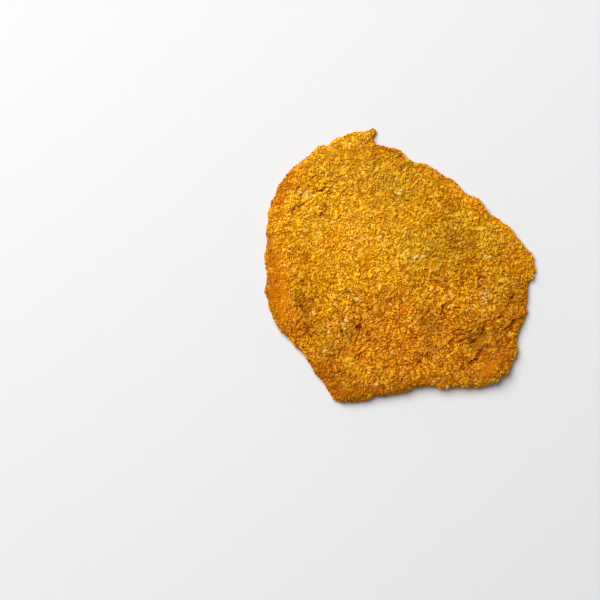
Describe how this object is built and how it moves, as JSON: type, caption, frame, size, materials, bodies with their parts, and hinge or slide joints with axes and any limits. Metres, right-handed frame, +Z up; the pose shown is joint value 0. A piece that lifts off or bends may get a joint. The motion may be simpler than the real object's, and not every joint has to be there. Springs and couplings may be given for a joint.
{
  "type": "breaded schnitzel",
  "caption": "Thin, uneven breaded cutlet in a golden orange crumb coat, with an irregular lobed outline, a small flap at its far edge, soft furrows and a flat underside.",
  "frame": {"origin": "on the surface the schnitzel rests on, under the middle of its bounding box", "axes": "+Z up out of the upper crumbed face, +Y towards the edge with the small flap, +X towards the pointed right end"},
  "size_m": [0.1584, 0.1602, 0.0095],
  "materials": {
    "crumb_coat": "rough golden orange breadcrumb coat"
  },
  "bodies": {
    "root": {"schnitzel": "crumb_coat"}
  },
  "joints": []
}
